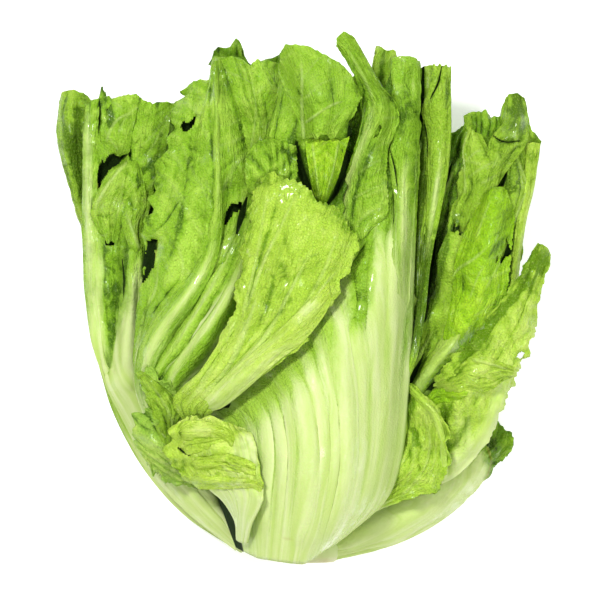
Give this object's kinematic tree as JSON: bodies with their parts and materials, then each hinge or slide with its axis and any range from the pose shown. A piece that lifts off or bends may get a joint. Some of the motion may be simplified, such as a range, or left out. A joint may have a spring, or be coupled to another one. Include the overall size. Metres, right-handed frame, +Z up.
{
  "type": "chinese mustard greens",
  "caption": "Whole head of broad-leaf mustard greens lying on its back, with wide pale ribbed petioles, crinkled green blades with cut edges and a short cut stump.",
  "frame": {"origin": "centre of the head's outline seen from above, on the surface that it lies on", "axes": "+Z up from the surface, +Y from the cut stump to the leaf tips, +X to the right seen from above with the tips away"},
  "size_m": [0.2784, 0.2961, 0.1142],
  "materials": {
    "stump": "cut stump, moist and matt, cream to pale yellow green",
    "leaf_pale": "waxy, mostly pale petiole, whitish green ribs",
    "leaf_green": "fresh crinkled blade, satin, pale veins",
    "leaf_lime": "young crinkled blade, satin, lime green",
    "leaf_back": "outer leaf, satin, green blade on a pale petiole"
  },
  "bodies": {
    "root": {"stump": "stump", "leaf_back": "leaf_back", "leaf_back_right": "leaf_back", "leaf_back_top": "leaf_green", "leaf_center": "leaf_pale", "leaf_far_left": "leaf_green", "leaf_front": "leaf_pale", "leaf_inner": "leaf_green", "leaf_left_lime": "leaf_lime", "leaf_left_outer": "leaf_pale", "leaf_left_second": "leaf_green", "leaf_left_small": "leaf_green", "leaf_lobe": "leaf_green", "leaf_right_back": "leaf_green", "leaf_right_front": "leaf_green", "leaf_right_outer": "leaf_pale", "leaf_right_small": "leaf_lime", "leaf_right_strip": "leaf_green", "leaf_right_upper": "leaf_green"}
  },
  "joints": []
}
